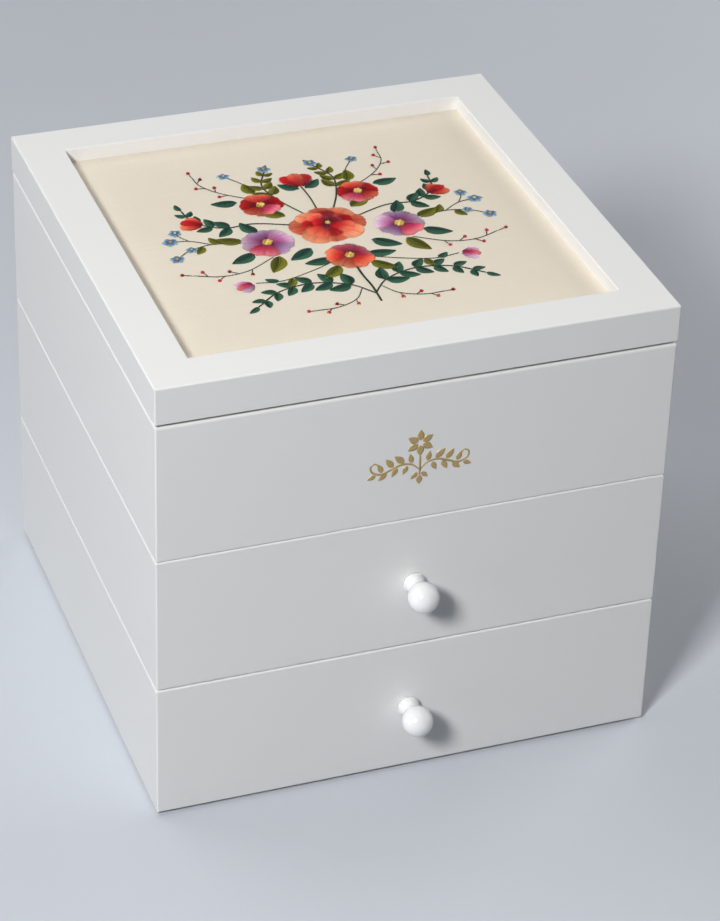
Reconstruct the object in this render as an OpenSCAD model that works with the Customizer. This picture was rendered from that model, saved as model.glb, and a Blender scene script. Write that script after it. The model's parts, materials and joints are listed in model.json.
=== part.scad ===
// Embroidery thread box in three stacked levels: a lidded box over two drawers.
// Width runs along X, the drawers pull out towards -Y, and Z is up. The origin is at the
// centre of the whole object's footprint, on the surface that it stands on.

/* [Levels] */
// Outside width of every level
body_w = 330; // [270:1:420]
// Outside depth of every level, with the drawer fronts
body_d = 330; // [270:1:420]
// Height of one level
level_h = 95; // [76:1:130]
// Thickness of the painted boards
board_t = 12; // [10:0.5:16]
// Thickness of the floor panels
floor_t = 5; // [3:0.5:8]
// Height of a floor panel above the lower edge of its boards
floor_up = 3; // [2:0.5:6]
// Depth of the grooves that hold the floor panels
groove = 3; // [2:0.5:4]
// Rounding along the top of each level
edge_r = 2.3; // [0.6:0.1:3]
// Rounding along the bottom of each level and of the lid
low_edge_r = 0.9; // [0.4:0.1:1.5]
// Rounding of the upright corners
corner_r = 1; // [0.6:0.1:4]
// Diameter of the dowels between two levels
dowel_d = 5; // [4:0.5:6]
// Length of those dowels
dowel_l = 24; // [16:1:40]
// Thickness of the felt feet
foot_t = 2; // [1:0.5:4]

/* [Drawers] */
// Thickness of a drawer front
front_t = 12; // [9:0.5:18]
// Rounding along the top of a drawer front
front_edge_r = 1.1; // [0.6:0.1:3]
// Gap that shows between two drawer fronts
front_gap = 0.8; // [0.4:0.1:2]
// Gap between a shut drawer front and its case
shut_gap = 0.3; // [0.2:0.1:1]
// Thickness of the drawer box boards
drawer_t = 9; // [7:0.5:12]
// Play of a drawer at each side
drawer_play = 1; // [0.5:0.1:2]
// Space over a drawer box, under the level above
head_gap = 4; // [3:0.5:10]
// Running gap under a drawer
run_gap = 0.3; // [0.2:0.1:0.6]
// Thickness of a drawer's bottom panel
bottom_t = 4; // [3:0.5:6]
// Height of the bottom panel above the drawer's lower edge
bottom_up = 5; // [3:0.5:8]
// Depth of the joints between the drawer boards
rabbet = 4.5; // [3:0.5:6]
// Thickness of the dividers
divider_t = 4; // [3:0.5:6]
// Height of the dividers
divider_h = 56; // [30:1:60]
// Length of the front row, for skeins that lie front to back
skein_l = 172; // [120:1:180]
// Number of cells across a drawer
cells = 4; // [2:1:6]
// Radius of the finger scoops in the dividers
scoop_r = 46; // [30:1:60]
// Depth of those scoops
scoop_deep = 14; // [6:1:18]

/* [Knobs] */
// Length of a knob
knob_l = 27.5; // [24:0.5:36]
// Radius of a knob's ball
ball_r = 9.8; // [8:0.1:13]
// Radius of a knob's foot
knob_foot_r = 7.2; // [6:0.1:9]
// Length of a knob's foot
knob_foot_l = 3; // [2:0.5:5]
// Radius of a knob's neck, where it is thinnest
neck_r = 6; // [4:0.1:6.4]
// Distance of that place from the foot
neck_up = 3.5; // [2:0.5:5]
// Radius of the screw that holds a knob
knob_screw_r = 2; // [1.5:0.25:2.5]
// How far the screw reaches into the knob
knob_screw_in = 14; // [8:1:16]

/* [Lid] */
// Thickness of the lid frame
lid_t = 25; // [21:0.5:34]
// Width of the lid frame's rails
rail_w = 29; // [26:1:40]
// Depth of the fabric below the top of the lid frame
recess = 9.5; // [6:0.5:12]
// Rounding of the lid's upper edges
lid_edge_r = 1; // [0.5:0.1:3]
// Rounding of the recess's upper edge
recess_edge_r = 0.9; // [0.5:0.1:3]
// How far the lid stands out past the box at the front and sides
overhang = 0.5; // [0.3:0.1:2]
// Gap between the shut lid and the box
lid_gap = 1.3; // [0.3:0.1:1.6]
// Width of the ledge over the insert board
ledge = 6; // [4:0.5:9]
// Thickness of the insert board
insert_t = 3; // [2:0.5:4]
// Thickness of the fabric
fabric_t = 0.6; // [0.4:0.1:1]
// Thickness of the backing panel
backing_t = 3; // [2:0.5:4]
// How far the backing reaches past the insert board
backing_lap = 7; // [5:0.5:8]

/* [Hinges] */
// Length of a hinge
hinge_l = 36; // [28:1:50]
// Distance from the box's side to the middle of a hinge
hinge_inset = 70; // [40:1:100]
// Width of a hinge leaf
leaf_w = 9; // [7.5:0.5:9.5]
// Thickness of a hinge leaf
leaf_t = 1.2; // [1:0.1:1.6]
// Radius of a hinge knuckle
knuckle_r = 2.4; // [2:0.1:3]
// Radius of a hinge pin
pin_r = 1.1; // [0.8:0.1:1.3]
// Reach of the stop lugs from the pin's axis
lug_out = 7; // [5:0.5:9]
// Angle of each stop lug from the level plane; the lid stops at twice this angle
lug_angle = 50; // [46:1:60]
// Radius of the small screws
small_screw_r = 1.2; // [1:0.1:1.5]
// Length of the small screws
small_screw_l = 10; // [8:1:14]

/* [Hidden] */

// The four sides of a frame, counted round from the front
FRONT = 0;
RIGHT = 1;
BACK = 2;
LEFT = 3;
// The levels, counted up from the lowest
LOWER = 0;
UPPER = 1;
TOP = 2;

// Clearances: of a panel in its groove, of a divider in its place, of the insert in its
// rebate, of a pin in its bore, of a dowel or screw in its hole, past the end of one,
// between two knuckles, and of a knuckle from the board beside it
fit = 0.1;
divider_play = 0.3;
insert_play = 0.5;
pin_play = 0.05;
hole_play = 0.05;
end_play = 0.5;
knuckle_gap = 0.25;
knuckle_clear = 0.2;
// How far a cut runs past the face that it goes through
margin = 1;

// The hinge axis and the reach of the stop lugs behind it
axis_out = knuckle_r + knuckle_clear;
lug_t = leaf_t;
lug_in = knuckle_r + 3 * knuckle_clear;
lug_reach = lug_out * cos(lug_angle);

// Faces of the levels
front_y = knob_l - (knob_l + body_d + axis_out + lug_reach) / 2;
back_y = front_y + body_d;
mid_y = (front_y + back_y) / 2;
case_front_y = front_y + front_t + shut_gap;
function level_z(n) = foot_t + n * level_h;
rim_z = level_z(3);

// Dowels stand in the part of a board that its groove leaves whole
dowel_in = (board_t - groove) / 2;
dowel_edge = 45;
foot_d = board_t - 1;
foot_edge = 22;

// The drawer box, and the space inside it
box_w = body_w - 2 * (board_t + drawer_play);
box_front_y = front_y + front_t;
stop_gap = 2;
box_back_y = back_y - board_t - stop_gap;
box_d = box_back_y - box_front_y;
box_h = level_h - floor_up - floor_t - run_gap - head_gap;
function box_z(n) = level_z(n) + floor_up + floor_t + run_gap;
inside_w = box_w - 2 * drawer_t;
inside_front_y = box_front_y + drawer_t;
inside_back_y = box_back_y - drawer_t;
function inside_z(n) = box_z(n) + bottom_up + bottom_t;
bottom_in = 4;
row_y = inside_front_y + skein_l;

// The knob: its neck is an arc that runs tangent into the ball
ball_at = knob_l - ball_r;
neck_at = knob_foot_l + neck_up;
neck_rise = ball_at - neck_at;
neck_curve = (neck_r * neck_r + neck_rise * neck_rise - ball_r * ball_r) / (2 * (ball_r - neck_r));
meet_angle = atan2(-neck_rise, neck_r + neck_curve);
flare_angle = asin((neck_at - knob_foot_l) / neck_curve);
foot_edge_r = 0.8;
screw_head_r = 4;
screw_head_l = 2.4;
screw_head_sunk = 3;
screw_seat_y = inside_front_y - screw_head_sunk;
drive_w = 1;
drive_l = 5.2;

// The lid
lid_w = body_w + 2 * overhang;
lid_d = body_d + overhang;
lid_y = mid_y - overhang / 2;
lid_z = rim_z + lid_gap;
seat_up = lid_t - recess;
lap_up = seat_up - fabric_t - insert_t;
insert_in = rail_w - ledge;
backing_in = insert_in - backing_lap;
backing_screw_in = insert_in - backing_lap / 2;
small_head_r = 2.4;
small_head_l = 1.1;

// The hinge
hinge_x = body_w / 2 - hinge_inset;
axis_y = back_y + axis_out;
axis_z = rim_z + lid_gap / 2;
leaf_screw_x = hinge_l / 3;

paint = "white";
bare_board = "burlywood";
brass = "goldenrod";
steel = "silver";

// ---------------------------------------------------------------- shared shapes

// Points of an arc about c, from one angle to another
function arc(c, r, from, to, steps = 12) =
    [for (i = [0 : steps]) let (a = from + (to - from) * i / steps) c + r * [cos(a), sin(a)]];

// Rectangle from the origin, with its lower and its upper corners rounded
module round_outline(w, h, low_r, high_r) {
    translate([0, low_r]) square([w, h - low_r - high_r]);
    translate([low_r, 0]) square([w - 2 * low_r, h - high_r]);
    translate([high_r, low_r]) square([w - 2 * high_r, h - low_r]);
    for (x = [0, 1]) {
        translate([x ? w - low_r : low_r, low_r]) circle(low_r, $fn = 32);
        translate([x ? w - high_r : high_r, h - high_r]) circle(high_r, $fn = 32);
    }
}

// Block that stands on z = 0, centred in plan, with rounded upright corners and edges
module eased_block(w, d, h, front_r, side_r) {
    translate([-w / 2, -d / 2, 0]) intersection() {
        linear_extrude(h) round_outline(w, d, corner_r, corner_r);
        translate([0, d, 0]) rotate([90, 0, 0]) {
            linear_extrude(d) round_outline(w, h, low_edge_r, side_r);
        }
        rotate([90, 0, 90]) linear_extrude(w) round_outline(d, h, low_edge_r, front_r);
    }
}

// Box between two opposite corners
module span(low, high) {
    translate(low) cube(high - low);
}

// Length of one side of a frame, and its distance from the frame's centre
function side_length(side, w, d) = side % 2 == 0 ? w : d;
function side_distance(side, w, d) = side % 2 == 0 ? d / 2 : w / 2;

// Turns what is drawn for the front of a frame, with its outer face on y = 0, to one side
module to_side(side, w, d) {
    rotate(90 * side) translate([0, -side_distance(side, w, d), 0]) children();
}

// Room of one side of a frame, between the mitre planes at its ends
module mitred_room(side, w, d, h, t) {
    half = side_length(side, w, d) / 2;
    near = -margin;
    far = t + margin;
    translate([0, 0, -margin]) linear_extrude(h + 2 * margin) to_side(side, w, d) {
        polygon([[near - half, near], [half - near, near], [half - far, far], [far - half, far]]);
    }
}

// Section of a board with its two outer edges rounded: x = 0 is its outer face
module eased_section(t, h, high_r) {
    intersection() {
        square([t, h]);
        round_outline(2 * t, h, low_edge_r, high_r);
    }
}

// One side of a frame that stands on z = 0, centred in plan: the child is its section, which
// runs the length of the side, mitred into its neighbours and with rounded upright corners
module frame_side(side, w, d, h, t) {
    length = side_length(side, w, d);
    intersection() {
        to_side(side, w, d) translate([-length / 2, 0, 0]) rotate([90, 0, 90]) {
            linear_extrude(length) children();
        }
        mitred_room(side, w, d, h, t);
        translate([-w / 2, -d / 2, -margin]) {
            linear_extrude(h + 2 * margin) round_outline(w, d, corner_r, corner_r);
        }
    }
}

// Countersunk screw that points up, its head flush with z = 0; with play, its hole
module sunk_screw(l, play = 0) {
    cylinder(h = l + play, r = small_screw_r + play, $fn = 32);
    cylinder(h = small_head_l, r1 = small_head_r + play, r2 = small_screw_r + play, $fn = 32);
}

// ---------------------------------------------------------------- levels

// Floor panel of a level; grown, it is the groove that the panel sits in
module floor_panel(n, grow = 0) {
    x = body_w / 2 - board_t + groove - fit + grow;
    y0 = n == TOP ? front_y + board_t - groove + fit : case_front_y;
    y1 = back_y - board_t + groove - fit;
    z0 = level_z(n) + floor_up;
    span([-x, y0 - grow, z0 - grow / 2], [x, y1 + grow, z0 + floor_t + grow / 2]);
}

// Dowels in the side boards, half in one level and half in the next; with play, their holes
module dowels(play = 0, past = 0) {
    for (n = [UPPER, TOP], side = [-1, 1], y = [case_front_y + dowel_edge, back_y - dowel_edge]) {
        translate([side * (body_w / 2 - dowel_in), y, level_z(n)]) {
            cylinder(h = dowel_l + 2 * past, r = dowel_d / 2 + play, center = true, $fn = 32);
        }
    }
}

// One board of a level, with its groove and dowel holes
module level_board(n, side) {
    color(paint) difference() {
        translate([0, mid_y, level_z(n)]) frame_side(side, body_w, body_d, level_h, board_t) {
            eased_section(board_t, level_h, edge_r);
        }
        floor_panel(n, fit);
        dowels(hole_play, end_play);
        if (n != TOP) {
            span([-body_w, front_y - margin, 0], [body_w, case_front_y, rim_z]);
        }
        if (n == TOP && side == BACK) {
            hinge_seats(-1);
        }
    }
}

module floor_board(n) {
    color(paint) floor_panel(n);
}

module case_dowels() {
    color(bare_board) dowels();
}

module felt_feet() {
    x = body_w / 2 - board_t / 2;
    for (side = [-1, 1], y = [case_front_y + foot_edge, back_y - foot_edge]) {
        translate([side * x, y, 0]) color("gray") cylinder(h = foot_t, d = foot_d, $fn = 48);
    }
}

// ---------------------------------------------------------------- drawers

// Places what is drawn along +Z on a drawer's knob axis, pointing forwards from y
module on_knob_axis(n, y) {
    translate([0, y, level_z(n) + level_h / 2]) rotate([90, 0, 0]) children();
}

// Knob screw, from its head in the box front to its end in the knob; with play, its hole
module knob_screw_body(n, play = 0, past = 0) {
    reach = screw_seat_y - front_y + knob_screw_in;
    on_knob_axis(n, screw_seat_y) {
        translate([0, 0, -screw_head_l]) cylinder(h = screw_head_l, r = screw_head_r, $fn = 48);
        cylinder(h = reach + past, r = knob_screw_r + play, $fn = 32);
    }
}

// Clearance for that screw in the drawer front and the box front
module knob_screw_hole(n) {
    on_knob_axis(n, inside_front_y + margin) {
        cylinder(h = body_d, r = knob_screw_r + 2 * hole_play, $fn = 32);
        cylinder(h = screw_head_sunk + margin, r = screw_head_r + end_play, $fn = 48);
    }
}

module drawer_front(n) {
    color(paint) difference() {
        intersection() {
            translate([0, mid_y, level_z(n) + front_gap / 2]) {
                eased_block(body_w, body_d, level_h - front_gap, front_edge_r, edge_r);
            }
            span([-body_w, front_y - margin, 0], [body_w, box_front_y, rim_z]);
        }
        knob_screw_hole(n);
    }
}

// Bottom panel of a drawer; grown, it is the groove that the panel sits in
module drawer_panel(n, grow = 0) {
    x = inside_w / 2 + bottom_in - fit + grow;
    y0 = inside_front_y - bottom_in + fit - grow;
    y1 = inside_back_y + bottom_in - fit + grow;
    z0 = box_z(n) + bottom_up;
    span([-x, y0, z0 - grow / 2], [x, y1, z0 + bottom_t + grow / 2]);
}

// Board across a drawer box, set into the sides by the depth of their rabbets
module cross_board(n, y) {
    x = inside_w / 2 + rabbet - fit;
    difference() {
        span([-x, y, box_z(n)], [x, y + drawer_t, box_z(n) + box_h]);
        drawer_panel(n, fit);
    }
}

module drawer_box_front(n) {
    color(paint) difference() {
        cross_board(n, box_front_y);
        knob_screw_hole(n);
    }
}

module drawer_back(n) {
    color(paint) cross_board(n, inside_back_y);
}

// Side of a drawer box, with a rabbet at each end; side is -1 for left and 1 for right
module drawer_side(n, side) {
    x0 = inside_w / 2;
    color(paint) mirror([side < 0 ? 1 : 0, 0, 0]) difference() {
        span([x0, box_front_y, box_z(n)], [x0 + drawer_t, box_back_y, box_z(n) + box_h]);
        for (y = [box_front_y, inside_back_y]) {
            span([x0 - margin, y - fit, box_z(n) - margin],
                 [x0 + rabbet, y + drawer_t + fit, box_z(n) + box_h + margin]);
        }
        drawer_panel(n, fit);
    }
}

module drawer_bottom(n) {
    color(paint) drawer_panel(n);
}

// Middle of each divider that runs front to back
function cell_xs() = [for (i = [1 : cells - 1]) inside_w * (i / cells - 0.5)];

// Divider across the drawer, slotted from above where the others cross it
module row_divider(n) {
    x = inside_w / 2 - divider_play;
    z = inside_z(n);
    slot = divider_t / 2 + fit;
    color(paint) difference() {
        span([-x, row_y, z], [x, row_y + divider_t, z + divider_h]);
        for (at = cell_xs()) {
            span([at - slot, row_y - margin, z + divider_h / 2 - fit],
                 [at + slot, row_y + divider_t + margin, z + divider_h + margin]);
        }
    }
}

// Dividers that run front to back, slotted from below and scooped for the fingers
module cell_dividers(n) {
    z = inside_z(n);
    y0 = inside_front_y + divider_play;
    y1 = inside_back_y - divider_play;
    for (at = cell_xs()) {
        color(paint) difference() {
            span([at - divider_t / 2, y0, z], [at + divider_t / 2, y1, z + divider_h]);
            span([at - divider_t, row_y - fit, z - margin],
                 [at + divider_t, row_y + divider_t + fit, z + divider_h / 2 + fit]);
            translate([at, (y0 + row_y) / 2, z + divider_h - scoop_deep + scoop_r]) rotate([0, 90, 0]) {
                cylinder(h = 2 * divider_t, r = scoop_r, center = true, $fn = 64);
            }
        }
    }
}

// Half outline of a knob, from its flat foot to the end of its ball
function knob_outline() = concat(
    [[0, 0], [knob_foot_r - foot_edge_r / 2, 0]],
    arc([knob_foot_r - foot_edge_r, knob_foot_l - foot_edge_r], foot_edge_r, 0, 80, 5),
    arc([neck_r + neck_curve, neck_at], neck_curve, 180 + flare_angle, 180 + meet_angle),
    arc([0, ball_at], ball_r, meet_angle, 90, 24)
);

module drawer_knob(n) {
    color(paint) difference() {
        on_knob_axis(n, front_y) rotate_extrude($fn = 96) polygon(knob_outline());
        knob_screw_body(n, hole_play, end_play);
    }
}

module drawer_knob_screw(n) {
    color(steel) difference() {
        knob_screw_body(n);
        on_knob_axis(n, screw_seat_y + screw_head_l) {
            cube([drive_l, drive_w, screw_head_l], center = true);
            cube([drive_w, drive_l, screw_head_l], center = true);
        }
    }
}

// ---------------------------------------------------------------- lid

// Section of a lid rail: x = 0 is its outer face and y = 0 its underside
module rail_section() {
    difference() {
        eased_section(rail_w, lid_t, lid_edge_r);
        translate([insert_in, -margin]) square([ledge + margin, seat_up + margin]);
        translate([backing_in, -margin]) square([rail_w, lap_up + margin]);
        translate([rail_w - recess_edge_r, lid_t - recess_edge_r]) difference() {
            square(2 * recess_edge_r);
            circle(recess_edge_r, $fn = 32);
        }
    }
}

module lid_rail(side) {
    color(paint) difference() {
        translate([0, lid_y, lid_z]) frame_side(side, lid_w, lid_d, lid_t, rail_w) rail_section();
        backing_screws(hole_play, end_play);
        if (side == BACK) {
            hinge_seats(1);
        }
    }
}

// Panel inside the lid frame, its edge this far in from the frame's outer faces
module lid_panel(edge_in, low, high) {
    x = lid_w / 2 - edge_in;
    y = lid_d / 2 - edge_in;
    translate([0, lid_y, lid_z]) span([-x, -y, low], [x, y, high]);
}

module lid_fabric() {
    color("antiquewhite") lid_panel(insert_in + insert_play, seat_up - fabric_t, seat_up);
}

module lid_insert_board() {
    color(bare_board) lid_panel(insert_in + insert_play, lap_up, lap_up + insert_t);
}

module lid_backing() {
    color(paint) difference() {
        lid_panel(backing_in + insert_play, lap_up - backing_t, lap_up);
        backing_screws(2 * hole_play, end_play);
    }
}

// Pan-head screws that hold the backing, two to a rail; with play, their holes
module backing_screws(play = 0, past = 0) {
    for (side = [FRONT : LEFT], end = [-1, 1]) {
        x = end * side_length(side, lid_w, lid_d) / 4;
        translate([0, lid_y, lid_z + lap_up - backing_t]) to_side(side, lid_w, lid_d) {
            translate([x, backing_screw_in, -small_head_l]) {
                cylinder(h = small_head_l, r = small_head_r, $fn = 32);
                cylinder(h = small_head_l + small_screw_l + past, r = small_screw_r + play, $fn = 32);
            }
        }
    }
}

module lid_backing_screws() {
    color(steel) backing_screws();
}

// ---------------------------------------------------------------- hinges

// Places what is drawn about a hinge's axis at both hinges; up is 1 for the lid's leaf and
// -1 for the box's, which is the same leaf turned over
module at_hinges(up = 1) {
    for (x = [-hinge_x, hinge_x]) {
        translate([x, axis_y, axis_z]) mirror([0, 0, up < 0 ? 1 : 0]) children();
    }
}

// Places what is drawn at the two screws of a leaf
module at_leaf_screws() {
    for (x = [-leaf_screw_x, leaf_screw_x]) {
        translate([x, -axis_out - leaf_w / 2, lid_gap / 2]) children();
    }
}

// Screws of the leaves on one side; with play, their holes
module leaf_screws(up, play = 0) {
    at_hinges(up) at_leaf_screws() sunk_screw(small_screw_l, play);
}

// Mortises and screw holes for the leaves on one side
module hinge_seats(up) {
    at_hinges(up) {
        span([-hinge_l / 2 - fit, -axis_out - leaf_w - fit, 0],
             [hinge_l / 2 + fit, 0, lid_gap / 2 + leaf_t + fit]);
    }
    leaf_screws(up, hole_play);
}

// Knuckles of a leaf, as stretches of the pin's length
lid_knuckles = [[-(hinge_l / 6 - knuckle_gap / 2), hinge_l / 6 - knuckle_gap / 2]];
box_knuckles = [
    [-hinge_l / 2, -(hinge_l / 6 + knuckle_gap / 2)],
    [hinge_l / 6 + knuckle_gap / 2, hinge_l / 2]
];

// Leaf of a stop hinge: a plate, its knuckles, and the lug behind them. The lugs' facing
// sides lie in planes through the axis, so they meet flat when the lid is open
module hinge_leaf(knuckles) {
    difference() {
        union() {
            span([-hinge_l / 2, -axis_out - leaf_w, lid_gap / 2],
                 [hinge_l / 2, -axis_out, lid_gap / 2 + leaf_t]);
            for (k = knuckles) {
                translate([k[0], 0, 0]) rotate([0, 90, 0]) {
                    cylinder(h = k[1] - k[0], r = knuckle_r, $fn = 48);
                }
                span([k[0], -axis_out - 1, lid_gap / 2], [k[1], 0, lid_gap / 2 + leaf_t]);
                rotate([lug_angle, 0, 0]) span([k[0], 0, 0], [k[1], lug_in + 1, lug_t]);
            }
            rotate([lug_angle, 0, 0]) {
                span([-hinge_l / 2, lug_in, 0], [hinge_l / 2, lug_out, lug_t]);
            }
        }
        rotate([0, 90, 0]) cylinder(h = 2 * hinge_l, r = pin_r + pin_play, center = true, $fn = 32);
        at_leaf_screws() sunk_screw(small_screw_l, hole_play);
    }
}

module hinge_case_leaves() {
    color(brass) at_hinges(-1) hinge_leaf(box_knuckles);
}

module hinge_lid_leaves() {
    color(brass) at_hinges(1) hinge_leaf(lid_knuckles);
}

module hinge_pins() {
    color(brass) at_hinges() rotate([0, 90, 0]) cylinder(h = hinge_l, r = pin_r, center = true, $fn = 32);
}

module hinge_case_screws() {
    color(brass) leaf_screws(-1);
}

module hinge_lid_screws() {
    color(brass) leaf_screws(1);
}

// ---------------------------------------------------------------- nodes

level_board(LOWER, LEFT);  // lower_case_left_side
level_board(LOWER, RIGHT);  // lower_case_right_side
level_board(LOWER, BACK);  // lower_case_back
floor_board(LOWER);  // lower_case_floor
level_board(UPPER, LEFT);  // upper_case_left_side
level_board(UPPER, RIGHT);  // upper_case_right_side
level_board(UPPER, BACK);  // upper_case_back
floor_board(UPPER);  // upper_case_floor
level_board(TOP, FRONT);  // top_box_front
level_board(TOP, LEFT);  // top_box_left_side
level_board(TOP, RIGHT);  // top_box_right_side
level_board(TOP, BACK);  // top_box_back
floor_board(TOP);  // top_box_floor
case_dowels();
felt_feet();
drawer_front(LOWER);  // lower_drawer_front
drawer_box_front(LOWER);  // lower_drawer_box_front
drawer_side(LOWER, -1);  // lower_drawer_left_side
drawer_side(LOWER, 1);  // lower_drawer_right_side
drawer_back(LOWER);  // lower_drawer_back
drawer_bottom(LOWER);  // lower_drawer_bottom
row_divider(LOWER);  // lower_drawer_row_divider
cell_dividers(LOWER);  // lower_drawer_cell_dividers
drawer_knob(LOWER);  // lower_drawer_knob
drawer_knob_screw(LOWER);  // lower_drawer_knob_screw
drawer_front(UPPER);  // upper_drawer_front
drawer_box_front(UPPER);  // upper_drawer_box_front
drawer_side(UPPER, -1);  // upper_drawer_left_side
drawer_side(UPPER, 1);  // upper_drawer_right_side
drawer_back(UPPER);  // upper_drawer_back
drawer_bottom(UPPER);  // upper_drawer_bottom
row_divider(UPPER);  // upper_drawer_row_divider
cell_dividers(UPPER);  // upper_drawer_cell_dividers
drawer_knob(UPPER);  // upper_drawer_knob
drawer_knob_screw(UPPER);  // upper_drawer_knob_screw
lid_rail(FRONT);  // lid_front_rail
lid_rail(RIGHT);  // lid_right_rail
lid_rail(BACK);  // lid_back_rail
lid_rail(LEFT);  // lid_left_rail
lid_fabric();
lid_insert_board();
lid_backing();
lid_backing_screws();
hinge_case_leaves();
hinge_lid_leaves();
hinge_pins();
hinge_case_screws();
hinge_lid_screws();
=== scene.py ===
import json
from math import asin, atan2, cos, degrees, pi, radians, sin

import bmesh
import bpy
import numpy as np
from mathutils import Matrix, Vector


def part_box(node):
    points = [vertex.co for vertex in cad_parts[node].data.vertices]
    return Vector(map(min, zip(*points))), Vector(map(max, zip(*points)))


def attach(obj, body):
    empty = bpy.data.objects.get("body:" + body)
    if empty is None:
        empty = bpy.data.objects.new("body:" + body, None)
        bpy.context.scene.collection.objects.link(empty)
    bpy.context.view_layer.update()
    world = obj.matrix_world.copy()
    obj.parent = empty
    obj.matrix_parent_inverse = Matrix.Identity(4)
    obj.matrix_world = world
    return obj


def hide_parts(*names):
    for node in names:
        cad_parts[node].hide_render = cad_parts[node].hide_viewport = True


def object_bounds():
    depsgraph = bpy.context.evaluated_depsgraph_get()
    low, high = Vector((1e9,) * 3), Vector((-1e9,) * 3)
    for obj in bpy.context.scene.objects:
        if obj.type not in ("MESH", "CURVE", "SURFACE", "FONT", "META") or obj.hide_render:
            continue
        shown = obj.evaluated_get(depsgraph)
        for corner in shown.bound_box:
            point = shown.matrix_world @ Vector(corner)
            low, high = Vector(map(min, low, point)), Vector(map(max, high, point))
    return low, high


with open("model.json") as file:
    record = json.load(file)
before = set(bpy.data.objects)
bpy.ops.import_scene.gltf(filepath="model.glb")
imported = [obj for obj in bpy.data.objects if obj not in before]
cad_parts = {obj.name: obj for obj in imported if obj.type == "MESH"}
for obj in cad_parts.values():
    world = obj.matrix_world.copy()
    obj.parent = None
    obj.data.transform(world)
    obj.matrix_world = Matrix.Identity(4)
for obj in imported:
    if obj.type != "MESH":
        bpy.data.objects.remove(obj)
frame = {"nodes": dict(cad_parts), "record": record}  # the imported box: its bodies, nodes, joints and record
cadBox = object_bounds()
mm = 0.001
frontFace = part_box("top_box_front")[0][1] / mm  # y of the front of the box, in mm


def added(name, data):
    # a new object in the scene
    made = bpy.data.objects.new(name, data)
    bpy.context.scene.collection.objects.link(made)
    return made


def scaled(colour, share):
    return tuple(share * v for v in colour)


# camera and lights

camera = {
    "place": (-0.60285, -1.64904, 1.27683),  # in metres
    "azimuth": 19.615,  # in degrees, like the next two
    "elevation": 32.089,
    "roll": 1.411,
    "picture": (720, 921),  # width and height, in pixels
    "focal": 3193.7,  # in the same pixels
    "centre": (310, 410),  # where the lens looks, in the same pixels
    "sensor": 36,
}


def aimedFrame(azimuth, elevation, roll):
    # forward looks along the azimuth and down by the elevation; right is level, then rolled
    a, e, r = (radians(v) for v in (azimuth, elevation, roll))
    forward = Vector((sin(a) * cos(e), cos(a) * cos(e), -sin(e)))
    right = Vector((cos(a), -sin(a), 0))
    down = forward.cross(right)
    right = cos(r) * right - sin(r) * down
    return Matrix((right, -forward.cross(right), -forward)).transposed()


pictureWide, pictureHigh = camera["picture"]
lens = bpy.data.cameras.new("camera")
lens.sensor_width = camera["sensor"]
lens.lens = camera["focal"] / pictureHigh * camera["sensor"]
lens.shift_x = (pictureWide / 2 - camera["centre"][0]) / pictureHigh
lens.shift_y = (camera["centre"][1] - pictureHigh / 2) / pictureHigh
lens.clip_start, lens.clip_end = 0.05, 100
viewer = added("camera", lens)
viewer.matrix_world = Matrix.Translation(camera["place"]) @ aimedFrame(
    camera["azimuth"], camera["elevation"], camera["roll"]
).to_4x4()
bpy.context.scene.camera = viewer

lamps = {
    # from: direction of the lamp seen from the box; away and wide: its distance and size in
    # metres; level: light that it gives a facing surface
    "key": {"from": (-0.532, -0.578, 0.619), "away": 2.6, "wide": 0.46, "level": 0.80},
    "overhead": {"from": (-0.34, 0.44, 0.82), "away": 3.0, "wide": 2.0, "level": 0.335},
    "low": {"from": (-0.97, -0.20, -0.03), "away": 2.4, "wide": 1.28, "level": 0.172,
            "colour": (0.88, 0.96, 1.0)},
    "rear": {"from": (0.93, 0.25, 0.30), "away": 2.6, "wide": 1.6, "level": 0.50},
}
boxMiddle = (cadBox[0] + cadBox[1]) / 2
for name, lamp in lamps.items():
    light = bpy.data.lights.new(name, "AREA")
    light.shape = "SQUARE"
    light.size = lamp["wide"]
    light.energy = lamp["level"] * (pi * lamp["away"]) ** 2
    light.color = lamp.get("colour", (1, 1, 1))
    holder = added(name, light)
    way = Vector(lamp["from"]).normalized()
    holder.location = boxMiddle + way * lamp["away"]
    holder.visible_camera = False
    holder.rotation_mode = "QUATERNION"
    holder.rotation_quaternion = way.to_track_quat("Z", "Y")

bpy.context.scene.view_settings.view_transform = "Standard"

# shader maths


class Wire:
    # an output of a node; sums and products of wires add Math nodes
    def __init__(self, nodes, socket):
        self.nodes = nodes
        self.socket = socket

    def math(self, operation, *others):
        pins = dict(enumerate((self, *others)))
        return self.nodes.node("ShaderNodeMath", {"operation": operation}, pins)

    def __add__(self, other):
        return self.math("ADD", other)

    __radd__ = __add__

    def __mul__(self, other):
        return self.math("MULTIPLY", other)

    __rmul__ = __mul__

    def __sub__(self, other):
        return self.math("SUBTRACT", other)

    def __rsub__(self, other):
        return self.nodes.node("ShaderNodeMath", {"operation": "SUBTRACT"}, {0: other, 1: self})


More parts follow.
